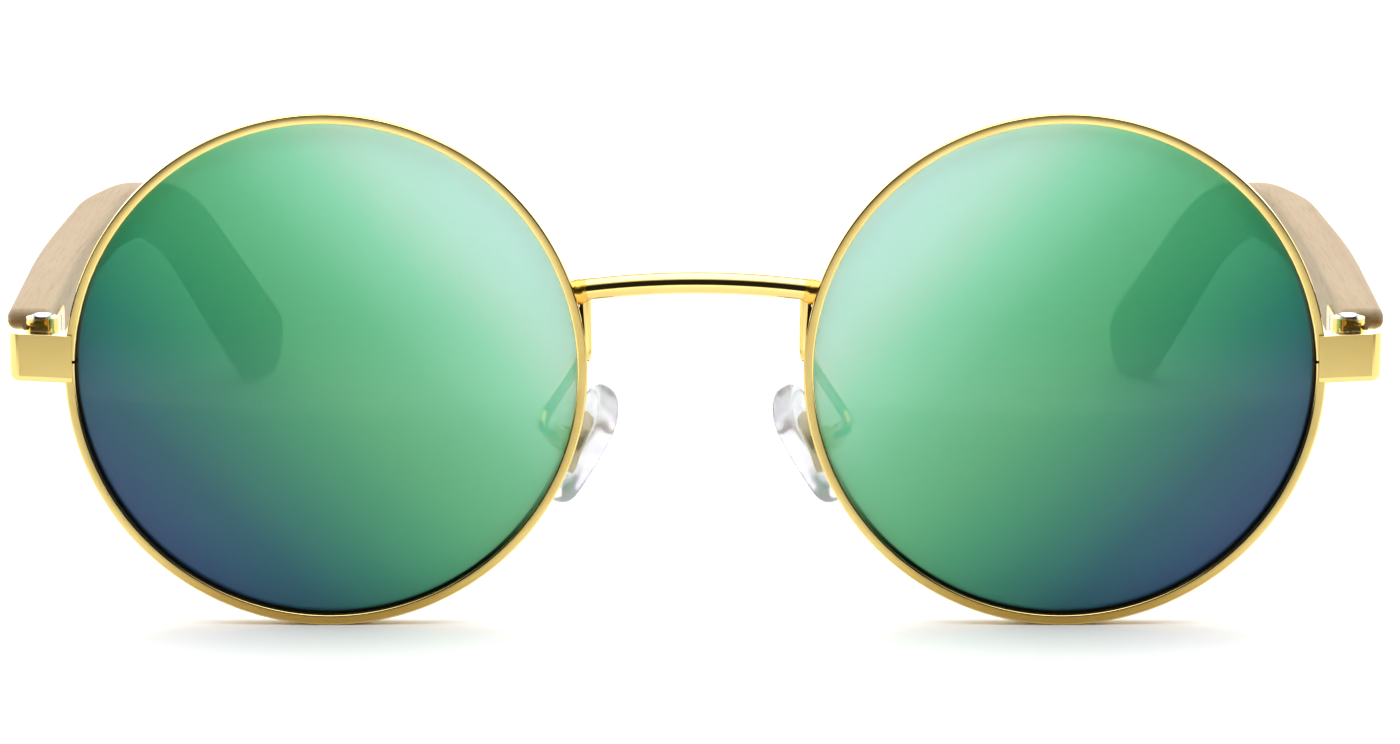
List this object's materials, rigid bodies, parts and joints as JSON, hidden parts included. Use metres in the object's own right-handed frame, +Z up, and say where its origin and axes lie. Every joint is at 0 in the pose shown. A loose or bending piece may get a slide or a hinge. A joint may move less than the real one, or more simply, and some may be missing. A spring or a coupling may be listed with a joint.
{
  "type": "sunglasses",
  "caption": "Round metal-rimmed sunglasses with mirror lenses, adjustable nose pads and folding wooden temples; shades the eyes.",
  "frame": {"origin": "middle of the bottom of the bounding box of the open sunglasses: midway between the two lenses, midway between the front and the temple tips, at the level of the rim bottoms and temple tips that it rests on", "axes": "+Z up, the lenses face -Y, +X is towards the wearer's left, so left_ nodes are at +X and right_ nodes at -X"},
  "size_m": [0.1416, 0.1398, 0.0523],
  "materials": {
    "rim_gold": "satin gold plate",
    "end_piece_gold": "satin gold plate",
    "bridge_gold": "polished gold plate",
    "arm_gold": "polished gold plate",
    "block_gold": "plated, unpolished",
    "hinge_gold": "plated",
    "screw_steel": "turned steel",
    "core_metal": "plated insert",
    "lens_mirror": "green to blue mirror coating on a tinted lens",
    "pad_clear": "clear soft plastic",
    "temple_wood": "pale bamboo, fine lengthwise grain, matt lacquer"
  },
  "bodies": {
    "front": {"bridge": "bridge_gold", "left_rim": "rim_gold", "left_lens": "lens_mirror", "left_end_piece": "end_piece_gold", "left_upper_closing_block": "block_gold", "left_lower_closing_block": "block_gold", "left_rim_screw": "screw_steel", "left_front_hinge": "hinge_gold", "left_hinge_screw": "screw_steel", "left_pad_arm": "arm_gold", "left_pad_box": "arm_gold", "left_pad_screw": "screw_steel", "right_rim": "rim_gold", "right_lens": "lens_mirror", "right_end_piece": "end_piece_gold", "right_upper_closing_block": "block_gold", "right_lower_closing_block": "block_gold", "right_rim_screw": "screw_steel", "right_front_hinge": "hinge_gold", "right_hinge_screw": "screw_steel", "right_pad_arm": "arm_gold", "right_pad_box": "arm_gold", "right_pad_screw": "screw_steel"},
    "left_temple": {"left_temple": "temple_wood", "left_temple_hinge": "hinge_gold", "left_temple_screws": "screw_steel"},
    "left_pad": {"left_nose_pad": "pad_clear", "left_pad_core": "core_metal"},
    "right_temple": {"right_temple": "temple_wood", "right_temple_hinge": "hinge_gold", "right_temple_screws": "screw_steel"},
    "right_pad": {"right_nose_pad": "pad_clear", "right_pad_core": "core_metal"}
  },
  "joints": [
    {"name": "left_temple_fold", "type": "hinge", "parent": "front", "child": "left_temple", "pos_m": [0.0659, -0.06238, 0.02799], "axis": [0, 0, 1], "range_deg": [0, 85]},
    {"name": "right_temple_fold", "type": "hinge", "parent": "front", "child": "right_temple", "pos_m": [-0.0659, -0.06238, 0.02799], "axis": [0, 0, -1], "range_deg": [0, 75]},
    {"name": "left_pad_tilt", "type": "hinge", "parent": "front", "child": "left_pad", "pos_m": [0.01333, -0.06128, 0.01811], "axis": [0.31, 0.9359, 0.1675], "range_deg": [-10, 10]},
    {"name": "right_pad_tilt", "type": "hinge", "parent": "front", "child": "right_pad", "pos_m": [-0.01333, -0.06128, 0.01811], "axis": [0.31, -0.9359, -0.1675], "range_deg": [-10, 10]}
  ]
}
